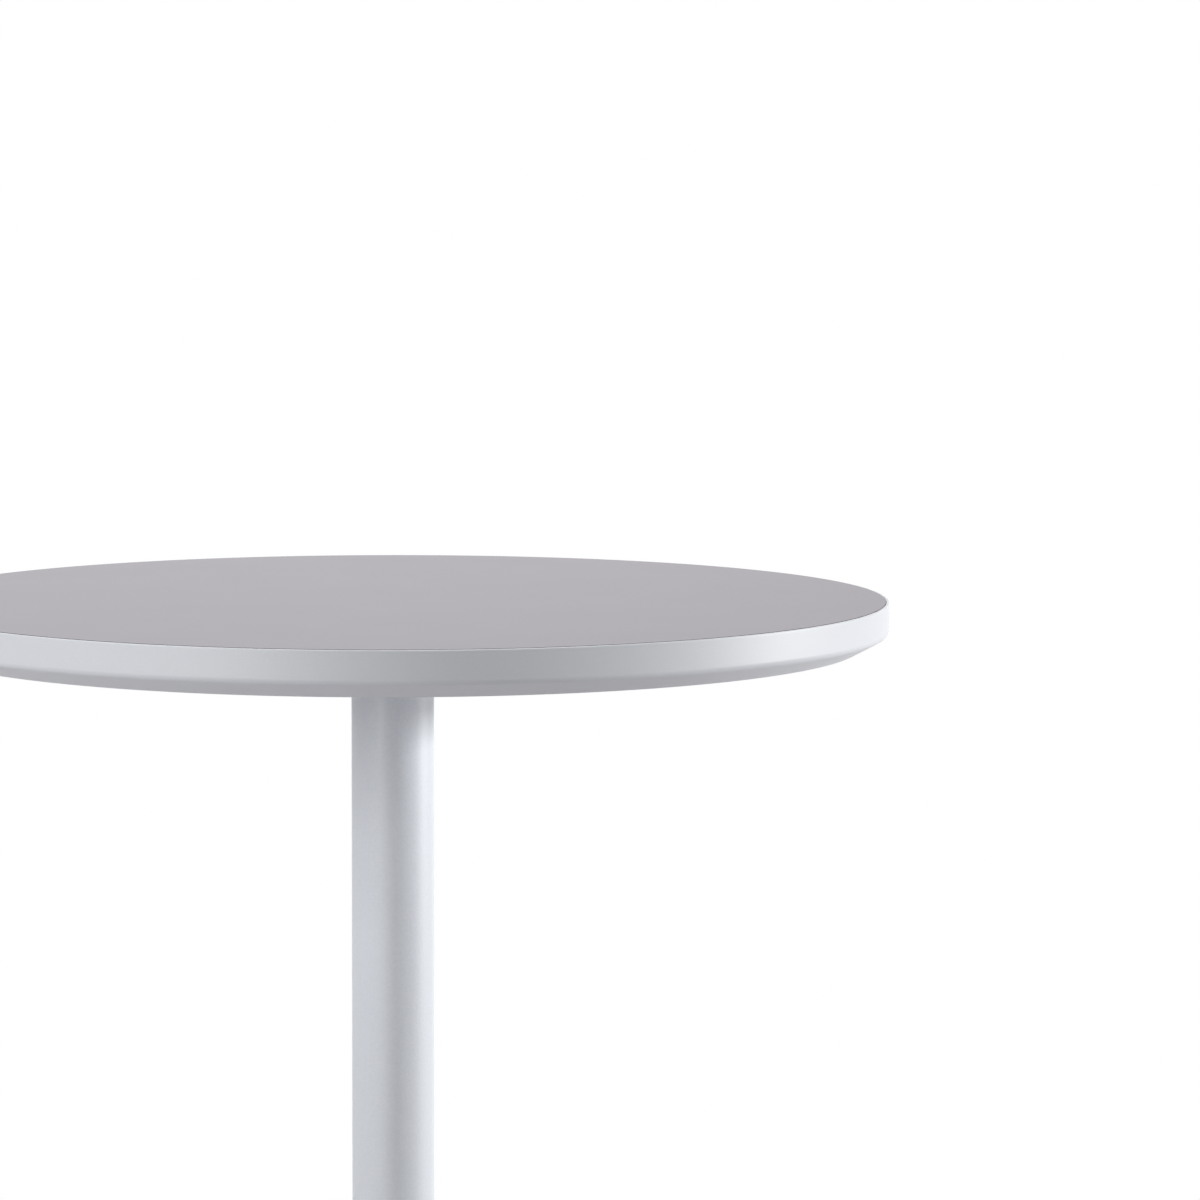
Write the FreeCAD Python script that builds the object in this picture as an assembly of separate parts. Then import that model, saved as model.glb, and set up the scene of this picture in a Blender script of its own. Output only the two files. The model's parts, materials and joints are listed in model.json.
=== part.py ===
import FreeCAD
import Part

import math
import os

# Round bar table: a laminated top with a white bevelled edge, bolted to a steel mounting plate,
# carried by a tubular column that a tie rod clamps to a flat disc base on four levelling feet.
# Millimetres, +Z up. The origin is on the floor, on the column's axis.

# Whole table
TABLE_HEIGHT = 1100.0  # floor to the face of the top
TOP_DIAMETER = 600.0
TOP_THICKNESS = 28.0
COLUMN_DIAMETER = 50.0
COLUMN_WALL = 2.0
BASE_DIAMETER = 450.0
BASE_THICKNESS = 12.0

# Edge lipping of the top
BEVEL_HEIGHT = 9.0  # the rest of the top's thickness is the upright face
BEVEL_RUN = 17.0  # how far the bevel runs in under the top
BEVEL_CORNER_ROUNDING = 4.0  # soft corner between the upright face and the bevel
BEVEL_TOE_WIDTH = 3.0  # flat land between the bevel and the backing sheet
BEVEL_TOE_ROUNDING = 0.8
LIP_WIDTH = 1.6  # lipping that shows round the laminate
LIP_ROUNDING = 1.4
LIPPING_LAP = 6.0  # lipping that the backing sheet covers
TONGUE_LENGTH = 8.0
TONGUE_THICKNESS = 8.0
GLUE_LINE = 0.1

# Sheets glued to the core
LAMINATE_THICKNESS = 0.9
LAMINATE_TRIM = 0.25  # trimming bevel that bares the sheet's dark core above the lip
BACKING_THICKNESS = 0.9

# Mounting plate and its hub
PLATE_DIAMETER = 280.0
PLATE_THICKNESS = 5.0
PLATE_EDGE_ROUNDING = 1.2
HUB_FLANGE_OVERHANG = 15.0  # flange beyond the column
HUB_FLANGE_THICKNESS = 6.0
HUB_SPIGOT_LENGTH = 30.0
SPIGOT_CLEARANCE = 0.1
SPIGOT_LEAD_IN = 1.5
WELD_LEG = 4.0

# Screws that hold the plate to the top
SCREW_COUNT = 6
SCREW_EDGE_MARGIN = 20.0  # screw axis to the plate's rim
SCREW_DIAMETER = 6.0
SCREW_LENGTH = 16.0
SCREW_HEAD_DIAMETER = 10.5
SCREW_HEAD_HEIGHT = 3.3
SCREW_HEAD_RIM = 0.7  # upright rim below the dome of the head
SCREW_SOCKET_WIDTH = 4.0
SCREW_SOCKET_DEPTH = 2.0
SCREW_HOLE_CLEARANCE = 0.3
SCREW_WASHER_DIAMETER = 14.0
SCREW_WASHER_THICKNESS = 1.6
INSERT_DIAMETER = 10.0
INSERT_LENGTH = 13.0
INSERT_END_GAP = 2.0  # empty end of the blind hole in the core
THREAD_CLEARANCE = 0.05

# Tie rod and what tightens it
ROD_DIAMETER = 10.0
ROD_END_CHAMFER = 1.0
ROD_TOP_GAP = 3.0  # rod's end to the mounting plate
ROD_OVERRUN = 1.0  # rod's end below the nut
ROD_HOLE_CLEARANCE = 0.5
CLAMP_WASHER_DIAMETER = 30.0
CLAMP_WASHER_THICKNESS = 3.0
SPRING_WASHER_DIAMETER = 18.0
SPRING_WASHER_THICKNESS = 2.2
SPRING_WASHER_SLOT = 1.2
NUT_WIDTH = 16.0  # across flats
NUT_HEIGHT = 8.4
NUT_CHAMFER_ANGLE = 30.0
NUT_POCKET_CLEARANCE = 3.0  # pocket in the base round the clamp washer
NUT_POCKET_DEPTH = 5.0

# Base plate
BASE_RIM_ROUNDING = 2.5
BASE_UNDER_ROUNDING = 1.0
BASE_SPIGOT_LENGTH = 15.0

# Levelling feet
FOOT_COUNT = 4
FOOT_START_ANGLE = 45.0
FOOT_EDGE_MARGIN = 30.0  # foot axis to the base's rim
PAD_DIAMETER = 32.0
PAD_HEIGHT = 7.6
PAD_TOP_ROUNDING = 2.0
PAD_SOLE_ROUNDING = 0.8
PAD_GAP = 0.4  # running gap between the pad and the hexagon
PAD_SOLE_THICKNESS = 1.7  # plastic under the ball
STUD_DIAMETER = 8.0
STUD_SKIN = 2.0  # steel left above the stud's blind hole
STUD_END_GAP = 0.5
STUD_END_CHAMFER = 0.8
STUD_HEX_WIDTH = 13.0
STUD_HEX_HEIGHT = 5.0
BALL_DIAMETER = 6.4
BALL_CLEARANCE = 0.1
NECK_DIAMETER = 4.2
MOUTH_CLEARANCE = 0.4  # snap-in mouth of the pad round the neck

CUT_OVERRUN = 1.0
FILLET_LIMIT_SHARE = 0.95  # most of its wall that a rounding may take up
HEXAGON_SIDES = 6

# Radii
TOP_RADIUS = TOP_DIAMETER / 2
LIP_RADIUS = TOP_RADIUS - LIP_WIDTH
LAMINATE_RADIUS = LIP_RADIUS - GLUE_LINE
BEVEL_TOE_RADIUS = TOP_RADIUS - BEVEL_RUN
BACKING_SEAT_RADIUS = BEVEL_TOE_RADIUS - BEVEL_TOE_WIDTH
LIPPING_INNER_RADIUS = BACKING_SEAT_RADIUS - LIPPING_LAP
COLUMN_RADIUS = COLUMN_DIAMETER / 2
COLUMN_BORE_RADIUS = COLUMN_RADIUS - COLUMN_WALL
SPIGOT_RADIUS = COLUMN_BORE_RADIUS - SPIGOT_CLEARANCE
HUB_FLANGE_RADIUS = COLUMN_RADIUS + HUB_FLANGE_OVERHANG
ROD_RADIUS = ROD_DIAMETER / 2
ROD_HOLE_RADIUS = ROD_RADIUS + ROD_HOLE_CLEARANCE
ROD_THREAD_RADIUS = ROD_RADIUS + THREAD_CLEARANCE
BASE_RADIUS = BASE_DIAMETER / 2
SCREW_CIRCLE_RADIUS = PLATE_DIAMETER / 2 - SCREW_EDGE_MARGIN
SCREW_HOLE_RADIUS = SCREW_DIAMETER / 2 + SCREW_HOLE_CLEARANCE
INSERT_HOLE_RADIUS = INSERT_DIAMETER / 2 + GLUE_LINE
FOOT_CIRCLE_RADIUS = BASE_RADIUS - FOOT_EDGE_MARGIN
STUD_RADIUS = STUD_DIAMETER / 2
BALL_RADIUS = BALL_DIAMETER / 2
NECK_RADIUS = NECK_DIAMETER / 2

# Heights above the floor
TOP_UNDERSIDE = TABLE_HEIGHT - TOP_THICKNESS
LAMINATE_SEAT = TABLE_HEIGHT - LAMINATE_THICKNESS
LIP_FACE = TABLE_HEIGHT - LAMINATE_TRIM
BACKING_SEAT = TOP_UNDERSIDE + BACKING_THICKNESS
BEVEL_CORNER = TOP_UNDERSIDE + BEVEL_HEIGHT
TONGUE_MIDDLE = (LAMINATE_SEAT + BACKING_SEAT) / 2
PLATE_UNDERSIDE = TOP_UNDERSIDE - PLATE_THICKNESS
HUB_SHOULDER = PLATE_UNDERSIDE - HUB_FLANGE_THICKNESS
BASE_UNDERSIDE = PAD_HEIGHT + PAD_GAP + STUD_HEX_HEIGHT
BASE_FACE = BASE_UNDERSIDE + BASE_THICKNESS
POCKET_CEILING = BASE_UNDERSIDE + NUT_POCKET_DEPTH
CLAMP_WASHER_UNDERSIDE = POCKET_CEILING - CLAMP_WASHER_THICKNESS
SPRING_WASHER_UNDERSIDE = CLAMP_WASHER_UNDERSIDE - SPRING_WASHER_THICKNESS
NUT_UNDERSIDE = SPRING_WASHER_UNDERSIDE - NUT_HEIGHT
SCREW_WASHER_UNDERSIDE = PLATE_UNDERSIDE - SCREW_WASHER_THICKNESS
SCREW_TIP = SCREW_WASHER_UNDERSIDE + SCREW_LENGTH
INSERT_HOLE_END = max(TOP_UNDERSIDE + INSERT_LENGTH, SCREW_TIP) + INSERT_END_GAP
STUD_TIP = BASE_FACE - STUD_SKIN - STUD_END_GAP
STUD_HOLE_END = BASE_FACE - STUD_SKIN
BALL_CENTRE = PAD_SOLE_THICKNESS + BALL_CLEARANCE + BALL_RADIUS


def at(x, y, z):
    return FreeCAD.Vector(x, y, z)


AXIS = at(0, 0, 1)
ORIGIN = at(0, 0, 0)


def limited(rounding, wall):
    """Rounding that still leaves a little of its wall flat."""
    return min(rounding, wall * FILLET_LIMIT_SHARE)


def rounded_wire(corners):
    """Closed outline in the XZ plane through (x, z, rounding) corners, each rounding a tangent arc."""
    edges = []
    leaving = []
    arriving = []
    count = len(corners)
    for i, (x, z, rounding) in enumerate(corners):
        here = at(x, 0, z)
        if not rounding:
            arriving.append(here)
            leaving.append(here)
            edges.append(None)
            continue
        back = at(corners[i - 1][0], 0, corners[i - 1][1]).sub(here).normalize()
        on = at(corners[(i + 1) % count][0], 0, corners[(i + 1) % count][1]).sub(here).normalize()
        half = back.getAngle(on) / 2
        start = here + back * (rounding / math.tan(half))
        end = here + on * (rounding / math.tan(half))
        bisector = (back + on).normalize()
        middle = here + bisector * (rounding / math.sin(half) - rounding)
        arriving.append(start)
        leaving.append(end)
        edges.append(Part.Arc(start, middle, end).toShape())
    outline = []
    for i in range(count):
        if edges[i]:
            outline.append(edges[i])
        outline.append(Part.LineSegment(leaving[i], arriving[(i + 1) % count]).toShape())
    return Part.Wire(outline)


def turned(corners):
    """Solid of revolution about the Z axis of an outline of (radius, height, rounding) corners."""
    return Part.Face(rounded_wire(corners)).revolve(ORIGIN, AXIS, 360)


def cylinder(radius, bottom, top):
    return Part.makeCylinder(radius, top - bottom, at(0, 0, bottom), AXIS)


def ring(outer, inner, bottom, top):
    return turned([(inner, bottom, 0), (outer, bottom, 0), (outer, top, 0), (inner, top, 0)])


def hexagon(width, bottom, top):
    """Hexagonal prism that is width across its flats."""
    corner = width / 2 / math.cos(math.pi / HEXAGON_SIDES)
    turns = [2 * math.pi * k / HEXAGON_SIDES for k in range(HEXAGON_SIDES)]
    points = [at(corner * math.cos(turn), corner * math.sin(turn), bottom) for turn in turns]
    outline = Part.makePolygon(points + points[:1])
    return Part.Face(outline).extrude(at(0, 0, top - bottom))


def chamfered_hexagon(width, bottom, top):
    """Hexagonal prism whose corners are turned off at both ends, as on a nut."""
    corner = width / 2 / math.cos(math.pi / HEXAGON_SIDES)
    drop = (corner - width / 2) * math.tan(math.radians(NUT_CHAMFER_ANGLE))
    envelope = turned([
        (0, bottom, 0),
        (width / 2, bottom, 0),
        (corner, bottom + drop, 0),
        (corner, top - drop, 0),
        (width / 2, top, 0),
        (0, top, 0),
    ])
    return hexagon(width, bottom, top).common(envelope)


def on_circle(shape, radius, angle):
    """Copy of a shape on the Z axis, carried out to a place on a circle."""
    copy = shape.copy()
    copy.translate(at(radius, 0, 0))
    copy.rotate(ORIGIN, AXIS, angle)
    return copy


def round_the_screws(shape):
    return [on_circle(shape, SCREW_CIRCLE_RADIUS, k * 360 / SCREW_COUNT) for k in range(SCREW_COUNT)]


def round_the_feet(shape):
    return [
        on_circle(shape, FOOT_CIRCLE_RADIUS, FOOT_START_ANGLE + k * 360 / FOOT_COUNT)
        for k in range(FOOT_COUNT)
    ]


def drilled(shape, drills):
    for drill in drills:
        shape = shape.cut(drill)
    return shape


# The top


def top_laminate():
    """Sheet whose rim is trimmed to a small bevel above the lip."""
    return turned([
        (0, LAMINATE_SEAT, 0),
        (LAMINATE_RADIUS, LAMINATE_SEAT, 0),
        (LAMINATE_RADIUS, LIP_FACE, 0),
        (LAMINATE_RADIUS - LAMINATE_TRIM, TABLE_HEIGHT, 0),
        (0, TABLE_HEIGHT, 0),
    ])


def edge_lipping():
    groove_depth = TONGUE_LENGTH + GLUE_LINE
    groove_half = TONGUE_THICKNESS / 2
    return turned([
        (LIPPING_INNER_RADIUS, BACKING_SEAT, 0),
        (BACKING_SEAT_RADIUS, BACKING_SEAT, 0),
        (BACKING_SEAT_RADIUS, TOP_UNDERSIDE, 0),
        (BEVEL_TOE_RADIUS, TOP_UNDERSIDE, limited(BEVEL_TOE_ROUNDING, BEVEL_TOE_WIDTH)),
        (TOP_RADIUS, BEVEL_CORNER, limited(BEVEL_CORNER_ROUNDING, BEVEL_HEIGHT)),
        (TOP_RADIUS, LIP_FACE, limited(LIP_ROUNDING, LIP_WIDTH)),
        (LIP_RADIUS, LIP_FACE, 0),
        (LIP_RADIUS, LAMINATE_SEAT, 0),
        (LIPPING_INNER_RADIUS, LAMINATE_SEAT, 0),
        (LIPPING_INNER_RADIUS, TONGUE_MIDDLE + groove_half, 0),
        (LIPPING_INNER_RADIUS + groove_depth, TONGUE_MIDDLE + groove_half, 0),
        (LIPPING_INNER_RADIUS + groove_depth, TONGUE_MIDDLE - groove_half, 0),
        (LIPPING_INNER_RADIUS, TONGUE_MIDDLE - groove_half, 0),
    ])


def top_core():
    rim = LIPPING_INNER_RADIUS - GLUE_LINE
    tongue_half = TONGUE_THICKNESS / 2 - GLUE_LINE
    board = turned([
        (0, BACKING_SEAT, 0),
        (rim, BACKING_SEAT, 0),
        (rim, TONGUE_MIDDLE - tongue_half, 0),
        (rim + TONGUE_LENGTH, TONGUE_MIDDLE - tongue_half, 0),
        (rim + TONGUE_LENGTH, TONGUE_MIDDLE + tongue_half, 0),
        (rim, TONGUE_MIDDLE + tongue_half, 0),
        (rim, LAMINATE_SEAT, 0),
        (0, LAMINATE_SEAT, 0),
    ])
    hole = cylinder(INSERT_HOLE_RADIUS, BACKING_SEAT - CUT_OVERRUN, INSERT_HOLE_END)
    return drilled(board, round_the_screws(hole))


def backing_laminate():
    sheet = cylinder(BACKING_SEAT_RADIUS - GLUE_LINE, TOP_UNDERSIDE, BACKING_SEAT)
    hole = cylinder(INSERT_HOLE_RADIUS, TOP_UNDERSIDE - CUT_OVERRUN, BACKING_SEAT + CUT_OVERRUN)
    return drilled(sheet, round_the_screws(hole))


def insert_nuts():
    bore = SCREW_DIAMETER / 2 + THREAD_CLEARANCE
    nut = ring(INSERT_DIAMETER / 2, bore, TOP_UNDERSIDE, TOP_UNDERSIDE + INSERT_LENGTH)
    return Part.makeCompound(round_the_screws(nut))


# The mounting plate


def mounting_plate():
    radius = PLATE_DIAMETER / 2
    plate = turned([
        (0, PLATE_UNDERSIDE, 0),
        (radius, PLATE_UNDERSIDE, limited(PLATE_EDGE_ROUNDING, PLATE_THICKNESS)),
        (radius, TOP_UNDERSIDE, 0),
        (0, TOP_UNDERSIDE, 0),
    ])
    hole = cylinder(SCREW_HOLE_RADIUS, PLATE_UNDERSIDE - CUT_OVERRUN, TOP_UNDERSIDE + CUT_OVERRUN)
    return drilled(plate, round_the_screws(hole))


def mounting_washers():
    washer = ring(
        SCREW_WASHER_DIAMETER / 2, SCREW_HOLE_RADIUS, SCREW_WASHER_UNDERSIDE, PLATE_UNDERSIDE
    )
    return Part.makeCompound(round_the_screws(washer))


def mounting_screws():
    """Button-head screws with a hexagon socket, their heads down."""
    head_radius = SCREW_HEAD_DIAMETER / 2
    head_end = SCREW_WASHER_UNDERSIDE - SCREW_HEAD_HEIGHT
    dome_height = SCREW_HEAD_HEIGHT - SCREW_HEAD_RIM
    dome_radius = (head_radius ** 2 + dome_height ** 2) / (2 * dome_height)
    dome = Part.makeSphere(dome_radius, at(0, 0, head_end + dome_radius))
    head = cylinder(head_radius, head_end, SCREW_WASHER_UNDERSIDE).common(dome)
    socket = hexagon(SCREW_SOCKET_WIDTH, head_end - CUT_OVERRUN, head_end + SCREW_SOCKET_DEPTH)
    shank = cylinder(SCREW_DIAMETER / 2, SCREW_WASHER_UNDERSIDE, SCREW_TIP)
    screw = head.fuse(shank).cut(socket).removeSplitter()
    return Part.makeCompound(round_the_screws(screw))


def upper_hub():
    """Flange under the plate, with the spigot that centres the column and takes the tie rod's thread."""
    spigot_end = HUB_SHOULDER - HUB_SPIGOT_LENGTH
    return turned([
        (ROD_THREAD_RADIUS, spigot_end, 0),
        (SPIGOT_RADIUS - SPIGOT_LEAD_IN, spigot_end, 0),
        (SPIGOT_RADIUS, spigot_end + SPIGOT_LEAD_IN, 0),
        (SPIGOT_RADIUS, HUB_SHOULDER, 0),
        (HUB_FLANGE_RADIUS, HUB_SHOULDER, 0),
        (HUB_FLANGE_RADIUS, PLATE_UNDERSIDE, 0),
        (ROD_THREAD_RADIUS, PLATE_UNDERSIDE, 0),
    ])


def hub_weld():
    """Fillet weld between the flange and the plate."""
    return turned([
        (HUB_FLANGE_RADIUS, PLATE_UNDERSIDE, 0),
        (HUB_FLANGE_RADIUS, PLATE_UNDERSIDE - WELD_LEG, 0),
        (HUB_FLANGE_RADIUS + WELD_LEG, PLATE_UNDERSIDE, 0),
    ])


# The column


def column_tube():
    return ring(COLUMN_RADIUS, COLUMN_BORE_RADIUS, BASE_FACE, HUB_SHOULDER)


def tie_rod():
    bottom = NUT_UNDERSIDE - ROD_OVERRUN
    top = PLATE_UNDERSIDE - ROD_TOP_GAP
    return turned([
        (0, bottom, 0),
        (ROD_RADIUS - ROD_END_CHAMFER, bottom, 0),
        (ROD_RADIUS, bottom + ROD_END_CHAMFER, 0),
        (ROD_RADIUS, top - ROD_END_CHAMFER, 0),
        (ROD_RADIUS - ROD_END_CHAMFER, top, 0),
        (0, top, 0),
    ])


def clamp_washer():
    return ring(CLAMP_WASHER_DIAMETER / 2, ROD_HOLE_RADIUS, CLAMP_WASHER_UNDERSIDE, POCKET_CEILING)


def spring_washer():
    """Split ring under the clamp washer."""
    radius = SPRING_WASHER_DIAMETER / 2
    split = Part.makeBox(
        radius + CUT_OVERRUN,
        SPRING_WASHER_SLOT,
        SPRING_WASHER_THICKNESS + 2 * CUT_OVERRUN,
        at(0, -SPRING_WASHER_SLOT / 2, SPRING_WASHER_UNDERSIDE - CUT_OVERRUN),
    )
    return ring(radius, ROD_HOLE_RADIUS, SPRING_WASHER_UNDERSIDE, CLAMP_WASHER_UNDERSIDE).cut(split)


def tie_rod_nut():
    thread = cylinder(
        ROD_THREAD_RADIUS, NUT_UNDERSIDE - CUT_OVERRUN, SPRING_WASHER_UNDERSIDE + CUT_OVERRUN
    )
    return chamfered_hexagon(NUT_WIDTH, NUT_UNDERSIDE, SPRING_WASHER_UNDERSIDE).cut(thread)


# The base


def base_plate():
    pocket_radius = CLAMP_WASHER_DIAMETER / 2 + NUT_POCKET_CLEARANCE
    plate = turned([
        (ROD_HOLE_RADIUS, POCKET_CEILING, 0),
        (pocket_radius, POCKET_CEILING, 0),
        (pocket_radius, BASE_UNDERSIDE, 0),
        (BASE_RADIUS, BASE_UNDERSIDE, limited(BASE_UNDER_ROUNDING, BASE_THICKNESS / 2)),
        (BASE_RADIUS, BASE_FACE, limited(BASE_RIM_ROUNDING, BASE_THICKNESS / 2)),
        (ROD_HOLE_RADIUS, BASE_FACE, 0),
    ])
    hole = cylinder(STUD_RADIUS + THREAD_CLEARANCE, BASE_UNDERSIDE - CUT_OVERRUN, STUD_HOLE_END)
    return drilled(plate, round_the_feet(hole))


def base_spigot():
    """Disc welded to the base that centres the foot of the column."""
    end = BASE_FACE + BASE_SPIGOT_LENGTH
    return turned([
        (ROD_HOLE_RADIUS, BASE_FACE, 0),
        (SPIGOT_RADIUS, BASE_FACE, 0),
        (SPIGOT_RADIUS, end - SPIGOT_LEAD_IN, 0),
        (SPIGOT_RADIUS - SPIGOT_LEAD_IN, end, 0),
        (ROD_HOLE_RADIUS, end, 0),
    ])


# The levelling feet


def foot_pad():
    """Plastic pad with the socket that snaps over the stud's ball."""
    radius = PAD_DIAMETER / 2
    pad = turned([
        (0, 0, 0),
        (radius, 0, limited(PAD_SOLE_ROUNDING, PAD_HEIGHT / 2)),
        (radius, PAD_HEIGHT, limited(PAD_TOP_ROUNDING, PAD_HEIGHT / 2)),
        (0, PAD_HEIGHT, 0),
    ])
    socket = Part.makeSphere(BALL_RADIUS + BALL_CLEARANCE, at(0, 0, BALL_CENTRE))
    mouth = cylinder(NECK_RADIUS + MOUTH_CLEARANCE, BALL_CENTRE, PAD_HEIGHT + CUT_OVERRUN)
    return pad.cut(socket).cut(mouth)


def foot_stud():
    """Threaded stud with a hexagon for the spanner and a ball that turns in the pad."""
    hexagon_underside = BASE_UNDERSIDE - STUD_HEX_HEIGHT
    thread = turned([
        (0, BASE_UNDERSIDE, 0),
        (STUD_RADIUS, BASE_UNDERSIDE, 0),
        (STUD_RADIUS, STUD_TIP - STUD_END_CHAMFER, 0),
        (STUD_RADIUS - STUD_END_CHAMFER, STUD_TIP, 0),
        (0, STUD_TIP, 0),
    ])
    spanner_hexagon = chamfered_hexagon(STUD_HEX_WIDTH, hexagon_underside, BASE_UNDERSIDE)
    neck = cylinder(NECK_RADIUS, BALL_CENTRE, hexagon_underside)
    ball = Part.makeSphere(BALL_RADIUS, at(0, 0, BALL_CENTRE))
    return thread.fuse(spanner_hexagon).fuse(neck).fuse(ball).removeSplitter()


def pieces():
    """Every node's name and shape."""
    made = {
        "top_laminate": top_laminate(),
        "edge_lipping": edge_lipping(),
        "top_core": top_core(),
        "backing_laminate": backing_laminate(),
        "insert_nuts": insert_nuts(),
        "mounting_plate": mounting_plate(),
        "mounting_washers": mounting_washers(),
        "mounting_screws": mounting_screws(),
        "upper_hub": upper_hub(),
        "hub_weld": hub_weld(),
        "column_tube": column_tube(),
        "tie_rod": tie_rod(),
        "clamp_washer": clamp_washer(),
        "spring_washer": spring_washer(),
        "tie_rod_nut": tie_rod_nut(),
        "base_plate": base_plate(),
        "base_spigot": base_spigot(),
    }
    for number, shape in enumerate(round_the_feet(foot_pad()), start=1):
        made[f"foot_pad_{number}"] = shape
    for number, shape in enumerate(round_the_feet(foot_stud()), start=1):
        made[f"foot_stud_{number}"] = shape
    return made


os.makedirs("parts", exist_ok=True)
for name, shape in pieces().items():
    shape.exportStep(f"parts/{name}.step")
    state = "valid" if shape.isValid() else "NOT VALID"
    print(f"{name}: {len(shape.Solids)} solid(s), {shape.Volume:.1f} mm3, {state}")
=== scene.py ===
import json
import math

import bmesh
import bpy
import numpy as np
from mathutils import Matrix, Vector

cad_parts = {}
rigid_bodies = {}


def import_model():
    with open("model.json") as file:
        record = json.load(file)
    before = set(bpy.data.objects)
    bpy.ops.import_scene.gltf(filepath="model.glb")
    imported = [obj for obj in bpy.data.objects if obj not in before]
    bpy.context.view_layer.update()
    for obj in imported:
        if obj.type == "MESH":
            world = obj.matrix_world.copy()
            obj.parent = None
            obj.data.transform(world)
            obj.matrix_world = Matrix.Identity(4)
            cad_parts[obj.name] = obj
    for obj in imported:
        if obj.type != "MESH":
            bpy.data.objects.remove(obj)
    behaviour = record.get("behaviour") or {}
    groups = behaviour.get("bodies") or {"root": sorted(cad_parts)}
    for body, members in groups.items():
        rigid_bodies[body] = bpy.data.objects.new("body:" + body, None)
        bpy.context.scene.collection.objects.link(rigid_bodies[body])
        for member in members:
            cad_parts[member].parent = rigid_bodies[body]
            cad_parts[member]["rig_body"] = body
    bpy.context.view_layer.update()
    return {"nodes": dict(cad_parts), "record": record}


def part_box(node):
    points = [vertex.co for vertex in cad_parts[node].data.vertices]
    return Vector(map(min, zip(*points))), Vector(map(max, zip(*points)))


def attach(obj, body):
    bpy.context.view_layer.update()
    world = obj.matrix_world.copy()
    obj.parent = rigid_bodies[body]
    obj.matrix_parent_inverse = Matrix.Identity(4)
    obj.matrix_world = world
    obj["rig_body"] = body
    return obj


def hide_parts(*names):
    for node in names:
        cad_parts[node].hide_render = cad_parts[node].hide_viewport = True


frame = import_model()

# Round bar table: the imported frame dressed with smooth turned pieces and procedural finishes.
# Metres, +Z up. The origin is on the floor, on the column's axis, and the camera stands on the -Y side.

MM = 0.001
FULL_TURN = 2 * math.pi
NODES = frame["nodes"]
SLOT_OF_NODE = {part["node"]: part["material_slot"] for part in frame["record"]["subparts"]}


# Measures taken from the frame


def underside(node):
    """Height of a node's lowest point."""
    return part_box(node)[0].z


def face(node):
    """Height of a node's highest point."""
    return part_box(node)[1].z


def distances(node):
    """Distance of each of a node's vertices from the column's axis."""
    places = np.empty(len(NODES[node].data.vertices) * 3, np.float32)
    NODES[node].data.vertices.foreach_get("co", places)
    return np.hypot(places[0::3], places[1::3]).astype(float)


def reach(node):
    """Radius of a node's outermost points."""
    return distances(node).max()


def bore(node):
    """Radius of a node's innermost points."""
    return distances(node).min()


def place(node):
    """Middle of a node, seen from above."""
    low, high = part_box(node)
    return (low.x + high.x) / 2, (low.y + high.y) / 2


CENTRE = ((0.0, 0.0),)  # the one place of a piece on the column's axis

# Top
TOP_FACE = face("top_laminate")
LAMINATE_SEAT = underside("top_laminate")
LAMINATE_RADIUS = reach("top_laminate")
CORE_BEGINS = 0.02 * MM  # depth below the face where the laminate's dark core starts to show
CORE_IS_BARE = 0.05 * MM  # and where nothing else shows
TOP_RADIUS = reach("edge_lipping")
LIP_FACE = face("edge_lipping")
TOP_UNDERSIDE = underside("edge_lipping")
LIPPING_INNER_RADIUS = bore("edge_lipping")
BACKING_RADIUS = reach("backing_laminate")
BACKING_SEAT = face("backing_laminate")
GLUE_LINE = 0.1 * MM
LIP_ROUNDING = 0.6 * MM
BEVEL_HEIGHT = 9 * MM
BEVEL_RUN = 17 * MM
BEVEL_CORNER_ROUNDING = 4 * MM
BEVEL_TOE_ROUNDING = 0.8 * MM
TONGUE_DEPTH = 8.1 * MM
TONGUE_HALF = 4 * MM
INSERT_HOLE_RADIUS = 5.1 * MM

# Mounting plate, hub and screws
PLATE_RADIUS = reach("mounting_plate")
PLATE_UNDERSIDE = underside("mounting_plate")
PLATE_EDGE_ROUNDING = 1.2 * MM
HUB_FLANGE_RADIUS = reach("upper_hub")
HUB_SPIGOT_END = underside("upper_hub")
HUB_BORE_RADIUS = bore("upper_hub")
HUB_EDGE_ROUNDING = 0.8 * MM
SPIGOT_RADIUS = reach("base_spigot")
SPIGOT_LEAD_IN = 1.5 * MM
WELD_LEG = PLATE_UNDERSIDE - underside("hub_weld")
WELD_FULLNESS = 0.4  # 0 is a flat fillet, 1 a quarter round
WELD_RIPPLE = 0.22 * MM
WELD_RIPPLE_PITCH = 2.4 * MM
WELD_RIPPLE_LAG = 2.4  # radians by which a ripple lags in the middle of the bead
SCREW_COUNT = 6
WASHER_RADIUS = 7 * MM
WASHER_EDGE_ROUNDING = 0.3 * MM
WASHER_UNDERSIDE = underside("mounting_washers")
SCREW_CIRCLE_RADIUS = reach("mounting_washers") - WASHER_RADIUS
SCREW_HEAD_END = underside("mounting_screws")
SCREW_TIP = face("mounting_screws")
SCREW_RADIUS = 3 * MM
SCREW_PITCH = 1 * MM
SCREW_PLAIN_SHANK = 1 * MM
SCREW_HOLE_RADIUS = 3.3 * MM
SCREW_HEAD_RADIUS = 5.25 * MM
SCREW_HEAD_RIM = 0.7 * MM
SCREW_SOCKET_WIDTH = 4 * MM
SCREW_SOCKET_DEPTH = 2 * MM
SCREW_SOCKET_CONE = 0.5 * MM  # drill point at the socket's floor
SCREW_SOCKET_RIM = 0.25 * MM  # chamfer round the socket's mouth

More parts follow.
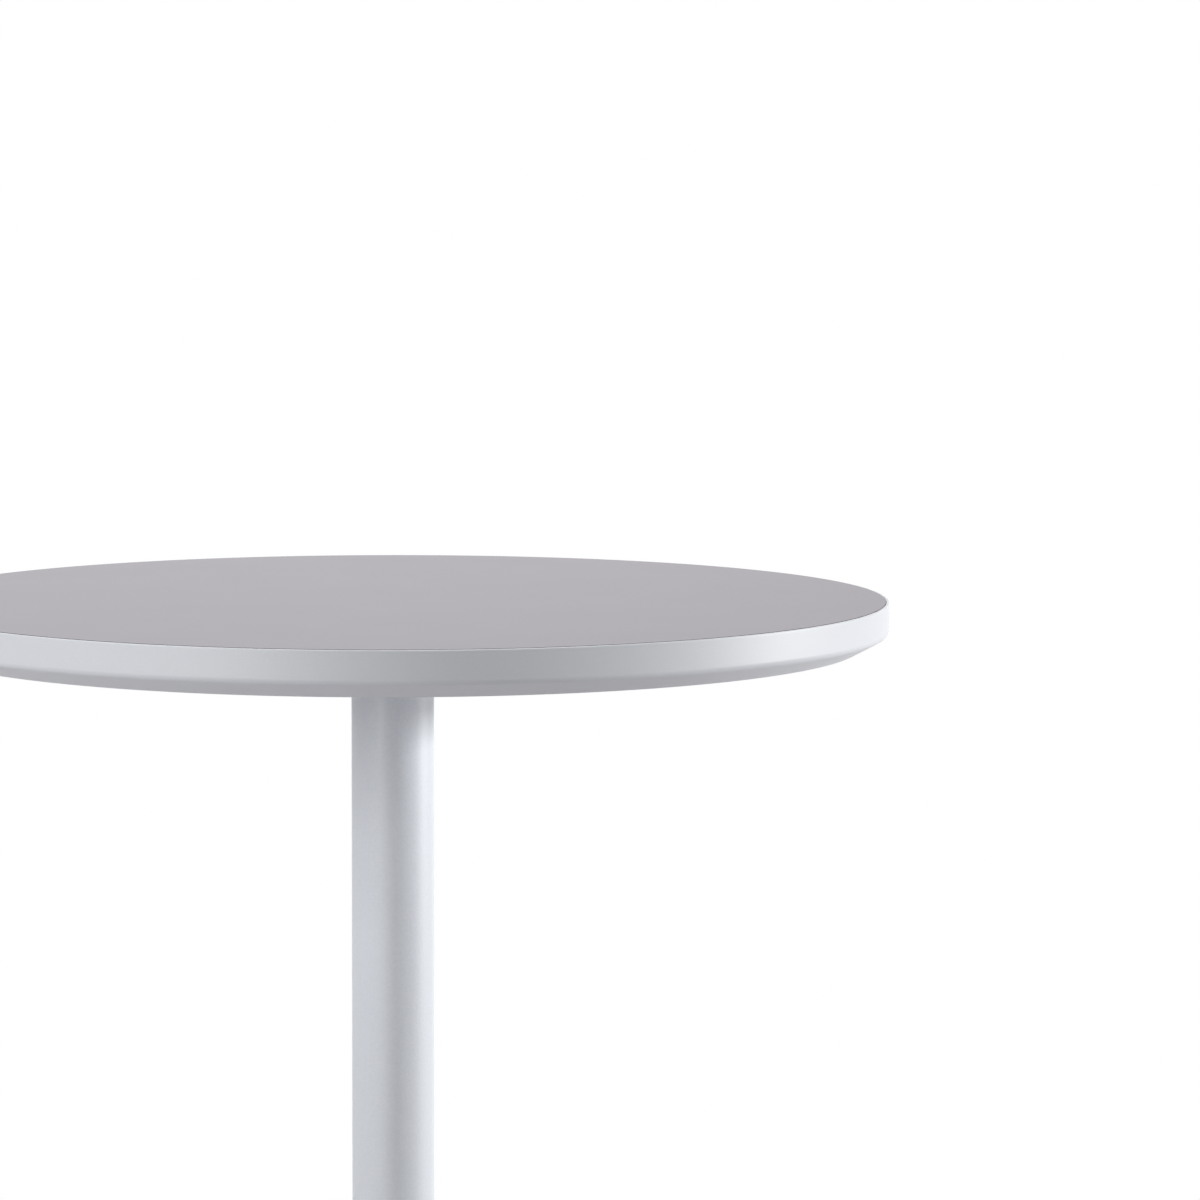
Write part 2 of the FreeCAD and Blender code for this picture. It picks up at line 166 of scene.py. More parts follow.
# Column, tie rod and what tightens it
COLUMN_RADIUS = reach("column_tube")
COLUMN_BORE_RADIUS = bore("column_tube")
COLUMN_TOP = face("column_tube")
COLUMN_END_ROUNDING = 0.4 * MM
ROD_RADIUS = reach("tie_rod")
ROD_BOTTOM = underside("tie_rod")
ROD_TOP = face("tie_rod")
ROD_THREAD_LENGTH = 30 * MM
ROD_PITCH = 1.5 * MM
ROD_CHAMFER = 1 * MM
CLAMP_WASHER_RADIUS = reach("clamp_washer")
CLAMP_WASHER_UNDERSIDE = underside("clamp_washer")
ROD_HOLE_RADIUS = bore("clamp_washer")
SPRING_WASHER_UNDERSIDE = underside("spring_washer")
NUT_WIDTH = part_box("tie_rod_nut")[1].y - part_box("tie_rod_nut")[0].y
NUT_UNDERSIDE = underside("tie_rod_nut")
NUT_BORE_RADIUS = bore("tie_rod_nut")

# Base
BASE_RADIUS = reach("base_plate")
BASE_FACE = face("base_plate")
BASE_UNDERSIDE = underside("base_plate")
BASE_RIM_ROUNDING = 2.5 * MM
BASE_UNDER_ROUNDING = 1 * MM
POCKET_CEILING = face("clamp_washer")
POCKET_CLEARANCE = 3 * MM
POCKET_RADIUS = CLAMP_WASHER_RADIUS + POCKET_CLEARANCE
POCKET_ROUNDING = 0.5 * MM
BASE_SPIGOT_TOP = face("base_spigot")

# Levelling feet
FOOT_COUNT = 4
PAD_RADIUS = 16 * MM
PAD_TOP = face("foot_pad_1")
PAD_TOP_ROUNDING = 2 * MM
PAD_SOLE_ROUNDING = 0.8 * MM
STUD_RADIUS = 4 * MM
STUD_PITCH = 1.25 * MM
STUD_TIP = face("foot_stud_1")
STUD_CHAMFER = 0.8 * MM
STUD_HOLE_RADIUS = 4.05 * MM
STUD_HOLE_CLEARANCE = 0.5 * MM
STUD_HOLE_END = STUD_TIP + STUD_HOLE_CLEARANCE
STUD_HEX_WIDTH = 13 * MM
STUD_HEX_HEIGHT = 5 * MM
STUD_HEX_UNDERSIDE = BASE_UNDERSIDE - STUD_HEX_HEIGHT
BALL_RADIUS = 3.2 * MM
BALL_CENTRE = underside("foot_stud_1") + BALL_RADIUS
BALL_CLEARANCE = 0.1 * MM
NECK_RADIUS = 2.1 * MM
MOUTH_RADIUS = 2.5 * MM
MOUTH_ROUNDING = 0.4 * MM

# Fineness of the skins
TOP_COLUMNS = 720
BASE_COLUMNS = 480
COLUMN_COLUMNS = 240
SMALL_COLUMNS = 96
SCREW_COLUMNS = 72
WELD_COLUMNS = 3 * TOP_COLUMNS
ARC_CHORDS = 8
RUN_STEP = 50 * MM
HOLD = 0.4 * MM  # point just off the end of a run, which keeps flats flat beside an arc
MERGE_DISTANCE = 0.001 * MM
SHARP_ANGLE = math.radians(32)
DRILL_OVERRUN = 1 * MM

# Threads and hexagons
THREAD_ROWS_A_TURN = 12
THREAD_DEPTH_SHARE = 0.54  # of the pitch
THREAD_FLANK_SLOPE = 2.6  # depths of the groove that a flank would climb in a whole pitch
THREAD_FLAT_CUT = 0.15  # depths of the groove that are cut off flat at crest and root
HEXAGON_SIDES = 6
HEXAGON_CORNER_SHARE = 1.135  # a broken corner's reach, as a share of a flat's
CONE_ANGLE = math.radians(30)
CONE_START_SHARE = 0.97  # where the cone leaves the end face, as a share of a flat's reach
CONE_ROWS = 7


# Surfaces


def corner_arc(back, here, on, rounding):
    """Arc that touches both sides of a corner.

    Its centre lies on the corner's bisector, rounding / sin(half the corner's angle) away, and its points
    are weighted means of the first and last spoke: sin((1 - s) a) and sin(s a) over sin(a).
    """
    if not rounding:
        return here[None]
    to_back = (back - here) / np.linalg.norm(back - here)
    to_on = (on - here) / np.linalg.norm(on - here)
    half = math.acos(to_back @ to_on) / 2
    bisector = (to_back + to_on) / np.linalg.norm(to_back + to_on)
    centre = here + bisector * rounding / math.sin(half)
    first = here + to_back * rounding / math.tan(half) - centre
    last = here + to_on * rounding / math.tan(half) - centre
    spread = math.pi - 2 * half
    share = np.linspace(0, 1, ARC_CHORDS + 1)[:, None]
    of_first = np.sin((1 - share) * spread) * first
    of_last = np.sin(share * spread) * last
    return centre + (of_first + of_last) / math.sin(spread)


def straight_run(start, end):
    """Points between two ends: one just off each end, and equal steps between those.

    Next to an end on the axis the point is a whole step off, and it is never past a quarter of the run.
    """
    length = np.linalg.norm(end - start)
    off_start = min(HOLD if start[0] else RUN_STEP, length / 4)
    off_end = min(HOLD if end[0] else RUN_STEP, length / 4)
    along = np.linspace(off_start, length - off_end, 2 + int(length / RUN_STEP))
    return start + (end - start) * (along / length)[:, None]


def outline(corners, ring):
    """Path of (radius, height) points: an arc or a point at each corner, and a straight run to the next.

    A corner is given as (radius, height, rounding). Where the path is a ring, the last joins the first.
    """
    marks = np.array(corners, float)
    before = np.roll(marks, 1, axis=0)
    after = np.roll(marks, -1, axis=0)
    arcs = [
        corner_arc(back[:2], here[:2], on[:2], here[2]) for back, here, on in zip(before, marks, after)
    ]
    path = []
    for arc, next_arc in zip(arcs, arcs[1:] + arcs[:1]):
        path += [arc, straight_run(arc[-1], next_arc[0])]
    if not ring:
        path.pop()
    return np.concatenate(path)


def full_turn(columns):
    """Angles of the columns, evenly spaced round the axis."""
    return np.linspace(0, FULL_TURN, columns, endpoint=False)


def rows_of(radius, height, columns):
    """Rows [row, column, (radius, height)], from arrays that may be the same in every column or row."""
    wide = np.broadcast_arrays(radius, height, np.zeros((1, columns)))
    return np.stack(wide[:2], axis=-1)


def even_rows(path, columns):
    """A row for each (radius, height) point of a path, the same in every column."""
    return rows_of(path[:, :1], path[:, 1:], columns)


def spun(rows, places):
    """Points of rows turned about an upright axis at each place: x = r cos t, y = r sin t, z = height.

    The angle t starts at the bearing of the place from the column's axis.
    """
    middles = np.array(places)
    bearing = np.arctan2(middles[:, 1], middles[:, 0])
    turn = full_turn(rows.shape[1]) + bearing[:, None, None]
    radius = rows[None, ..., 0]
    x = middles[:, 0, None, None] + radius * np.cos(turn)
    y = middles[:, 1, None, None] + radius * np.sin(turn)
    return np.stack([x, y, np.broadcast_to(rows[None, ..., 1], x.shape)], axis=-1)


def skin(name, points, ring):
    """Closed mesh over grids of points [copy, row, column, xyz], whose columns close round the axis.

    Where it is a ring, the last row joins the first; otherwise both are poles, each merged to one point.
    """
    index = np.arange(points[..., 0].size).reshape(points.shape[:3])
    below = index if ring else index[:, :-1]
    above = np.roll(index, -1, axis=1) if ring else index[:, 1:]
    quads = np.stack([below, np.roll(below, -1, axis=2), np.roll(above, -1, axis=2), above], axis=-1)
    mesh = bpy.data.meshes.new(name)
    mesh.from_pydata(points.reshape(-1, 3), [], quads.reshape(-1, 4))
    work = bmesh.new()
    work.from_mesh(mesh)
    bmesh.ops.remove_doubles(work, verts=work.verts, dist=MERGE_DISTANCE)
    bmesh.ops.recalc_face_normals(work, faces=work.faces)
    work.to_mesh(mesh)
    work.free()
    mesh.shade_smooth()
    mesh.set_sharp_from_angle(angle=SHARP_ANGLE)
    return mesh


def dressed(name, node, rows, ring, places=CENTRE):
    """Piece that stands for a CAD node, in the finish of the node's slot, riding on the node's body."""
    mesh = skin(name, spun(rows, places), ring)
    mesh.materials.append(FINISHES[SLOT_OF_NODE[node]])
    piece = bpy.data.objects.new(name, mesh)
    bpy.context.scene.collection.objects.link(piece)
    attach(piece, NODES[node]["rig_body"])
    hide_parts(node)
    return piece


def drilled(piece, radius, mouth, end, places):
    """Takes an upright hole out of a piece at each place, from its mouth underneath up to its end."""
    start = mouth - DRILL_OVERRUN
    path = np.array([(0, start), (radius, start), (radius, end), (0, end)])
    drill_mesh = skin("drill", spun(even_rows(path, SMALL_COLUMNS), places), ring=False)
    drill = bpy.data.objects.new("drill", drill_mesh)
    bpy.context.scene.collection.objects.link(drill)
    cut = piece.modifiers.new("holes", "BOOLEAN")
    cut.object = drill
    solid = piece.data
    evaluated = piece.evaluated_get(bpy.context.evaluated_depsgraph_get())
    piece.data = bpy.data.meshes.new_from_object(evaluated)
    piece.data.set_sharp_from_angle(angle=SHARP_ANGLE)
    piece.modifiers.clear()
    bpy.data.objects.remove(drill)
    bpy.data.meshes.remove(drill_mesh)
    bpy.data.meshes.remove(solid)
    piece.data.name = piece.name


def hexagon_reach(width, turn):
    """Distance from the axis to a hexagon's flats: half its width / cos(angle from a flat's middle).

    Its corners are broken a little, and lie at the start of the turn and every sixth of it.
    """
    side = FULL_TURN / HEXAGON_SIDES
    flat_reach = width / 2
    from_middle = turn % side - side / 2
    return np.minimum(flat_reach / np.cos(from_middle), flat_reach * HEXAGON_CORNER_SHARE)


def spanner_hexagon(width, bottom, top, columns):
    """Rows up a hexagon whose corners a cone turns off at both ends.

    The cone runs out from a circle a little inside the flats until it meets them.
    """
    limit = hexagon_reach(width, full_turn(columns))
    circle = width / 2 * CONE_START_SHARE
    radius = circle + np.linspace(0, 1, CONE_ROWS)[:, None] * (limit - circle)
    drop = (radius - circle) * math.tan(CONE_ANGLE)
    lower = rows_of(radius, bottom + drop, columns)
    upper = rows_of(radius[::-1], top - drop[::-1], columns)
    return np.concatenate([lower, upper])


def thread(radius, bottom, top, pitch, columns):
    """Rows up a screw thread: the radius falls by a flat-topped triangle wave of height / pitch - turn.

    So the crest climbs one pitch a turn, right-handed, and the groove runs out over a pitch at both ends.
    """
    count = max(2, round((top - bottom) / pitch * THREAD_ROWS_A_TURN))
    height = np.linspace(bottom, top, count)[:, None]
    phase = (height / pitch - full_turn(columns) / FULL_TURN) % 1
    from_crest = np.abs(phase - 0.5)
    groove = np.clip(THREAD_FLANK_SLOPE * from_crest - THREAD_FLAT_CUT, 0, 1)
    run_out = np.clip(np.minimum(height - bottom, top - height) / pitch, 0, 1)
    return rows_of(radius - THREAD_DEPTH_SHARE * pitch * groove * run_out, height, columns)


# Finishes


class Value:
    """A socket of a node tree. An expression on values adds the Math nodes that work it out."""

    def __init__(self, socket):
        self.socket = socket

    def node(self, kind, settings, sockets, output=0):
        """Adds a node to the tree: its settings first, then a value or a link for each socket."""
        tree = self.socket.id_data
        made = tree.nodes.new(kind)
        for name, setting in settings.items():
            setattr(made, name, setting)
        for name, value in sockets.items():
            if isinstance(value, Value):
                tree.links.new(value.socket, made.inputs[name])
            else:
                made.inputs[name].default_value = value
        return Value(made.outputs[output]) if made.outputs else None

    def math(self, operation, *terms):
        return self.node("ShaderNodeMath", {"operation": operation}, dict(enumerate(terms)))

    def __add__(self, other):
        return self.math("ADD", self, other)

    def __radd__(self, other):
        return self.math("ADD", other, self)

    def __sub__(self, other):
        return self.math("SUBTRACT", self, other)

    def __rsub__(self, other):
        return self.math("SUBTRACT", other, self)

    def __mul__(self, other):
        return self.math("MULTIPLY", self, other)

    def __rmul__(self, other):
        return self.math("MULTIPLY", other, self)

    def largest(self, other):
        return self.math("MAXIMUM", self, other)

    def smooth(self, low, high):
        """0 below low, 1 above high, and an S-curve between."""
        settings = {"interpolation_type": "SMOOTHSTEP"}
        return self.node("ShaderNodeMapRange", settings, {0: self, 1: low, 2: high, 3: 0.0, 4: 1.0})

    def between(self, first, second):
        """Colour that goes from the first to the second as this value goes from 0 to 1."""
        return self.node("ShaderNodeMix", {"data_type": "RGBA"}, {0: self, 6: first, 7: second}, 2)

    def part(self, axis):
        """One coordinate of a vector, by the axis's letter."""
        return self.node("ShaderNodeSeparateXYZ", {}, {0: self}, axis)

    def noise(self, size, detail=2.0):
        """Cloudy values about 0.5 whose features are about this size."""
        return self.node("ShaderNodeTexNoise", {}, {"Vector": self, "Scale": 1 / size, "Detail": detail})

    def raised(self, depth):
        """Normal of a surface that this value raises by up to a depth."""
        return self.node("ShaderNodeBump", {}, {"Strength": 1.0, "Distance": depth, "Height": self})


def started(tree, kind, output):
    """Empties a node tree and gives one output of its first node."""
    tree.nodes.clear()
    return Value(tree.nodes.new(kind).outputs[output])


def new_finish(name):
    """An empty material and the coordinates of the object that it is on."""
    material = bpy.data.materials.new(name)
    material.use_nodes = True
    return material, started(material.node_tree, "ShaderNodeTexCoord", "Object")


def coat(where, **sockets):
    """Gives a finish its shader. The names of its sockets have _ for a space."""
    named = {name.replace("_", " "): value for name, value in sockets.items()}
    surface = where.node("ShaderNodeBsdfPrincipled", {}, named)
    where.node("ShaderNodeOutputMaterial", {}, {"Surface": surface})


def colour(red, green, blue):
    """Opaque colour, from the share of each light that it gives back."""
    return red, green, blue, 1.0


# Colours, as pairs where a finish varies from one to the other
LAMINATE_GREYS = colour(0.455, 0.437, 0.47), colour(0.485, 0.467, 0.501)
LAMINATE_CORE = colour(0.03, 0.026, 0.025)
LACQUER_WHITES = colour(0.732, 0.753, 0.794), colour(0.752, 0.774, 0.814)
POWDER_WHITES = colour(0.755, 0.787, 0.836), colour(0.779, 0.812, 0.86)
BACKING_WHITES = colour(0.685, 0.685, 0.675), colour(0.7, 0.7, 0.69)
ZINC_BLUE_TO_STRAW = colour(0.6, 0.625, 0.67), colour(0.68, 0.66, 0.6)
CHIP_BROWNS = colour(0.3, 0.2, 0.11), colour(0.56, 0.42, 0.27)
PLASTIC_GREYS = colour(0.04, 0.04, 0.044), colour(0.055, 0.055, 0.06)
FLOOR_GREY = colour(0.63, 0.61, 0.625)
WHITE = colour(1, 1, 1)


def grey_laminate():
    """Matt light grey sheet with a fine pearl grain; its dark core shows where the rim is trimmed."""
    material, where = new_finish("grey_laminate")
    grain = where.noise(size=0.5 * MM)
    cloud = where.noise(size=60 * MM)
    tone = 0.7 * grain + 0.3 * cloud
    sheet = tone.smooth(0.2, 0.8).between(*LAMINATE_GREYS)
    below_face = TOP_FACE - where.part("Z")
    core = below_face.smooth(CORE_BEGINS, CORE_IS_BARE)
    coat(
        where,
        Base_Color=core.between(sheet, LAMINATE_CORE),
        Roughness=0.8 + 0.1 * (grain - 0.5),
        Specular_IOR_Level=0.25,
        Normal=grain.raised(depth=0.015 * MM),
    )
    return material


def white_lacquer():
    """Satin white edge, sprayed, with the faint wave of a sprayed film."""
    material, where = new_finish("white_lacquer")
    wave = where.noise(size=9 * MM)
    speck = where.noise(size=0.8 * MM)
    coat(
        where,
        Base_Color=speck.smooth(0.3, 0.7).between(*LACQUER_WHITES),
        Roughness=0.46 + 0.06 * (speck - 0.5),
        Specular_IOR_Level=0.85,
        Normal=(wave + 0.04 * speck).raised(depth=0.03 * MM),
    )
    return material


def white_powder_coat():
    """Cool white baked coat with the shallow dimples of orange peel."""
    material, where = new_finish("white_powder_coat")
    peel = where.noise(size=1.6 * MM, detail=1.0)
    speck = where.noise(size=0.5 * MM)
    coat(
        where,
        Base_Color=peel.smooth(0.3, 0.7).between(*POWDER_WHITES),
        Roughness=0.42 + 0.08 * (speck - 0.5),
        Specular_IOR_Level=0.85,
        Normal=(peel + 0.15 * speck).raised(depth=0.06 * MM),
    )
    return material


def white_backing():
    """Plain balancing sheet, a little yellower and duller than the lipping."""
    material, where = new_finish("white_backing")
    cloud = where.noise(size=45 * MM, detail=4.0)
    grain = where.noise(size=0.7 * MM)
    coat(
        where,
        Base_Color=cloud.smooth(0.25, 0.75).between(*BACKING_WHITES),
        Roughness=0.55 + 0.1 * (grain - 0.5),
        Normal=grain.raised(depth=0.02 * MM),
    )
    return material


def zinc_plating():
    """Bright zinc with a faint blue and straw passivation and a fine grain."""
    material, where = new_finish("zinc_plating")
    cloud = where.noise(size=4 * MM, detail=3.0)
    grain = where.noise(size=0.3 * MM)
    coat(
        where,
        Base_Color=cloud.smooth(0.3, 0.7).between(*ZINC_BLUE_TO_STRAW),
        Metallic=1.0,
        Roughness=0.3 + 0.2 * (grain - 0.5) + 0.1 * cloud,
        Normal=grain.raised(depth=0.01 * MM),
    )
    return material


def raw_board():
    """Pressed wood chips in several browns."""
    material, where = new_finish("raw_board")
    chip_size = 2.5 * MM
    chips = where.node("ShaderNodeTexVoronoi", {}, {"Vector": where, "Scale": 1 / chip_size}, "Distance")
    fibre = where.noise(size=0.8 * MM, detail=4.0)
    tone = 0.6 * chips + 0.5 * fibre
    coat(
        where,
        Base_Color=tone.smooth(0.2, 0.9).between(*CHIP_BROWNS),
        Roughness=0.8 + 0.1 * (fibre - 0.5),
        Normal=tone.raised(depth=0.15 * MM),
    )
    return material


def foot_plastic():
    """Dark grey moulded plastic with a fine spark grain."""
    material, where = new_finish("foot_plastic")
    grain = where.noise(size=0.45 * MM)
    cloud = where.noise(size=6 * MM)
    coat(
        where,
        Base_Color=cloud.smooth(0.3, 0.7).between(*PLASTIC_GREYS),
        Roughness=0.52 + 0.16 * (grain - 0.5),
        Normal=grain.raised(depth=0.04 * MM),
    )
    return material


FINISHES = {
    "laminate_grey": grey_laminate(),
    "edge_white": white_lacquer(),
    "core_board": raw_board(),
    "backing_white": white_backing(),
    "powder_white": white_powder_coat(),
    "zinc_steel": zinc_plating(),
    "foot_plastic": foot_plastic(),
}


# Pieces of the top


def round_the_screws():
    """Places of the screws, evenly spaced on their circle."""
    turn = full_turn(SCREW_COUNT)
    return SCREW_CIRCLE_RADIUS * np.stack([np.cos(turn), np.sin(turn)], axis=-1)


def laminate_sheet():
    """Thin disc, turned from an outline whose rim is trimmed to a small bevel above the lip."""
    trim = TOP_FACE - LIP_FACE
    path = outline(
        [
            (0, LAMINATE_SEAT, 0),
            (LAMINATE_RADIUS, LAMINATE_SEAT, 0),
            (LAMINATE_RADIUS, LIP_FACE, 0),
            (LAMINATE_RADIUS - trim, TOP_FACE, 0),
            (0, TOP_FACE, 0),
        ],
        ring=False,
    )
    dressed("laminate_sheet", "top_laminate", even_rows(path, TOP_COLUMNS), ring=False)


def white_lipping():
    """Ring turned from the edge's section.

    From the backing's seat the section goes over the bevel's toe, up the bevel and the upright face to the
    lip, down to the laminate's seat, and back along the groove for the board's tongue.
    """
    middle = (LAMINATE_SEAT + BACKING_SEAT) / 2
    lip_radius = LAMINATE_RADIUS + GLUE_LINE
    seat_radius = BACKING_RADIUS + GLUE_LINE
    groove_radius = LIPPING_INNER_RADIUS + TONGUE_DEPTH
    path = outline(
        [
            (LIPPING_INNER_RADIUS, BACKING_SEAT, 0),
            (seat_radius, BACKING_SEAT, 0),
            (seat_radius, TOP_UNDERSIDE, 0),
            (TOP_RADIUS - BEVEL_RUN, TOP_UNDERSIDE, BEVEL_TOE_ROUNDING),
            (TOP_RADIUS, TOP_UNDERSIDE + BEVEL_HEIGHT, BEVEL_CORNER_ROUNDING),
            (TOP_RADIUS, LIP_FACE, LIP_ROUNDING),
            (lip_radius, LIP_FACE, 0),
            (lip_radius, LAMINATE_SEAT, 0),
            (LIPPING_INNER_RADIUS, LAMINATE_SEAT, 0),
            (LIPPING_INNER_RADIUS, middle + TONGUE_HALF, 0),
            (groove_radius, middle + TONGUE_HALF, 0),
            (groove_radius, middle - TONGUE_HALF, 0),
            (LIPPING_INNER_RADIUS, middle - TONGUE_HALF, 0),
        ],
        ring=True,
    )
    dressed("white_lipping", "edge_lipping", even_rows(path, TOP_COLUMNS), ring=True)


def backing_sheet():
    """Thin disc, turned, with a hole at each insert."""
    path = outline(
        [
            (0, TOP_UNDERSIDE, 0),
            (BACKING_RADIUS, TOP_UNDERSIDE, 0),
            (BACKING_RADIUS, BACKING_SEAT, 0),
            (0, BACKING_SEAT, 0),
        ],
        ring=False,
    )
    sheet = dressed("backing_sheet", "backing_laminate", even_rows(path, BASE_COLUMNS), ring=False)
    drilled(sheet, INSERT_HOLE_RADIUS, TOP_UNDERSIDE, BACKING_SEAT + DRILL_OVERRUN, round_the_screws())


# Pieces under the top


def plate_under_top():
    """Disc turned from an outline with a rounded lower rim, with a hole at each screw."""
    path = outline(
        [
            (0, PLATE_UNDERSIDE, 0),
            (PLATE_RADIUS, PLATE_UNDERSIDE, PLATE_EDGE_ROUNDING),
            (PLATE_RADIUS, TOP_UNDERSIDE, 0),
            (0, TOP_UNDERSIDE, 0),
        ],
        ring=False,
    )
    plate = dressed("plate_under_top", "mounting_plate", even_rows(path, BASE_COLUMNS), ring=False)
    drilled(plate, SCREW_HOLE_RADIUS, PLATE_UNDERSIDE, TOP_UNDERSIDE + DRILL_OVERRUN, round_the_screws())


def flat_washer(outer, inner, bottom, top, rounding):
    """Outline of a punched washer, its outer edges rounded."""
    return outline(
        [(inner, bottom, 0), (outer, bottom, rounding), (outer, top, rounding), (inner, top, 0)], ring=True
    )


def plate_washers():
    """Washers turned from a flat outline, one at each screw."""
    path = flat_washer(
        WASHER_RADIUS, SCREW_HOLE_RADIUS, WASHER_UNDERSIDE, PLATE_UNDERSIDE, WASHER_EDGE_ROUNDING
    )
    rows = even_rows(path, SMALL_COLUMNS)
    dressed("plate_washers", "mounting_washers", rows, ring=True, places=round_the_screws())


def plate_screws():
    """Button-head screws, heads down: rows from the socket's floor over the domed head and up the shank.

    The dome is a sphere, height = end + R - sqrt(R^2 - r^2), and the socket's wall follows a hexagon.
    """
    columns = SCREW_COLUMNS
    dome_height = WASHER_UNDERSIDE - SCREW_HEAD_RIM - SCREW_HEAD_END
    dome_radius = (SCREW_HEAD_RADIUS**2 + dome_height**2) / (2 * dome_height)

    def dome(radius):
        return SCREW_HEAD_END + dome_radius - np.sqrt(dome_radius**2 - radius**2)

    socket = hexagon_reach(SCREW_SOCKET_WIDTH, full_turn(columns))
    mouth = socket + SCREW_SOCKET_RIM
    floor = SCREW_HEAD_END + SCREW_SOCKET_DEPTH
    share = np.linspace(0, 1, ARC_CHORDS)[:, None]
    over_dome = mouth + share * (SCREW_HEAD_RADIUS - mouth)
    thread_start = WASHER_UNDERSIDE + SCREW_PLAIN_SHANK
    chamfer = SCREW_PITCH / 2
    rows = np.concatenate([
        rows_of(0.0, floor + SCREW_SOCKET_CONE, columns),
        rows_of(socket, floor, columns),
        rows_of(socket, dome(mouth) + SCREW_SOCKET_RIM, columns),
        rows_of(over_dome, dome(over_dome), columns),
        rows_of(SCREW_HEAD_RADIUS, WASHER_UNDERSIDE, columns),
        rows_of(SCREW_RADIUS, WASHER_UNDERSIDE, columns),
        thread(SCREW_RADIUS, thread_start, SCREW_TIP - chamfer, SCREW_PITCH, columns),
        rows_of(SCREW_RADIUS - chamfer, SCREW_TIP, columns),
        rows_of(0.0, SCREW_TIP, columns),
    ])
    dressed("plate_screws", "mounting_screws", rows, ring=False, places=round_the_screws())


def column_hub():
    """Turned flange and spigot, bored for the tie rod."""
    path = outline(
        [
            (HUB_BORE_RADIUS, HUB_SPIGOT_END, 0),
            (SPIGOT_RADIUS - SPIGOT_LEAD_IN, HUB_SPIGOT_END, 0),
            (SPIGOT_RADIUS, HUB_SPIGOT_END + SPIGOT_LEAD_IN, 0),
            (SPIGOT_RADIUS, COLUMN_TOP, 0),
            (HUB_FLANGE_RADIUS, COLUMN_TOP, HUB_EDGE_ROUNDING),
            (HUB_FLANGE_RADIUS, PLATE_UNDERSIDE, 0),
            (HUB_BORE_RADIUS, PLATE_UNDERSIDE, 0),
        ],
        ring=True,
    )
    dressed("column_hub", "upper_hub", even_rows(path, COLUMN_COLUMNS), ring=True)


def weld_bead():
    """Fillet bead round the flange, in overlapping ripples.

    In section its reach at angle a from the plate is between a flat fillet, leg / (cos a + sin a), and a
    quarter round, leg. The ripple is a sine of the turn whose phase lags in the middle of the bead.
    """
    section = np.linspace(0, math.pi / 2, 2 * ARC_CHORDS + 1)[:, None]
    flat = 1 / (np.cos(section) + np.sin(section))
    ripples = round(FULL_TURN * HUB_FLANGE_RADIUS / WELD_RIPPLE_PITCH)
    from_toes = np.sin(2 * section)
    wave = np.sin(ripples * full_turn(WELD_COLUMNS) + WELD_RIPPLE_LAG * from_toes)
    size = WELD_LEG * (flat + WELD_FULLNESS * (1 - flat)) + WELD_RIPPLE * wave * from_toes
    bead = rows_of(
        HUB_FLANGE_RADIUS + size * np.cos(section),
        PLATE_UNDERSIDE - size * np.sin(section),
        WELD_COLUMNS,
    )
    root = rows_of(HUB_FLANGE_RADIUS, PLATE_UNDERSIDE, WELD_COLUMNS)
    dressed("weld_bead", "hub_weld", np.concatenate([root, bead]), ring=True)


# Column and tie rod


def column():
    """Turned tube, its cut ends broken a little."""
    path = outline(
        [
            (COLUMN_BORE_RADIUS, BASE_FACE, 0),
            (COLUMN_RADIUS, BASE_FACE, COLUMN_END_ROUNDING),
            (COLUMN_RADIUS, COLUMN_TOP, COLUMN_END_ROUNDING),
            (COLUMN_BORE_RADIUS, COLUMN_TOP, 0),
        ],
        ring=True,
    )
    dressed("column", "column_tube", even_rows(path, COLUMN_COLUMNS), ring=True)


def threaded_rod():
    """Plain rod with a thread rolled on each end, chamfered."""
    columns = SMALL_COLUMNS
    lower = ROD_BOTTOM + ROD_CHAMFER
    upper = ROD_TOP - ROD_CHAMFER
    rows = np.concatenate([
        rows_of(0.0, ROD_BOTTOM, columns),
        rows_of(ROD_RADIUS - ROD_CHAMFER, ROD_BOTTOM, columns),
        thread(ROD_RADIUS, lower, lower + ROD_THREAD_LENGTH, ROD_PITCH, columns),
        thread(ROD_RADIUS, upper - ROD_THREAD_LENGTH, upper, ROD_PITCH, columns),
        rows_of(ROD_RADIUS - ROD_CHAMFER, ROD_TOP, columns),
        rows_of(0.0, ROD_TOP, columns),
    ])
    dressed("threaded_rod", "tie_rod", rows, ring=False)


def pocket_washer():
    """Large washer turned from a flat outline, against the ceiling of the base's pocket."""
    path = flat_washer(
        CLAMP_WASHER_RADIUS, ROD_HOLE_RADIUS, CLAMP_WASHER_UNDERSIDE, POCKET_CEILING, WASHER_EDGE_ROUNDING
    )
    dressed("pocket_washer", "clamp_washer", even_rows(path, SMALL_COLUMNS), ring=True)


def hexagon_nut():
    """Nut: rows down the bore, out over the lower face, up the flats and back over the upper face.

    The bore is countersunk by half a pitch at both ends.
    """
    columns = SMALL_COLUMNS
    top = SPRING_WASHER_UNDERSIDE
    sink = ROD_PITCH / 2
    bore_path = np.array([
        (NUT_BORE_RADIUS, top - sink),
        (NUT_BORE_RADIUS, NUT_UNDERSIDE + sink),
        (NUT_BORE_RADIUS + sink, NUT_UNDERSIDE),
    ])
    rows = np.concatenate([
        even_rows(bore_path, columns),
        spanner_hexagon(NUT_WIDTH, NUT_UNDERSIDE, top, columns),
        rows_of(NUT_BORE_RADIUS + sink, top, columns),
    ])
    dressed("hexagon_nut", "tie_rod_nut", rows, ring=True)


# Base


def round_the_feet():
    """Places of the feet, in the order of their numbers."""
    return [place(f"foot_pad_{number}") for number in range(1, FOOT_COUNT + 1)]


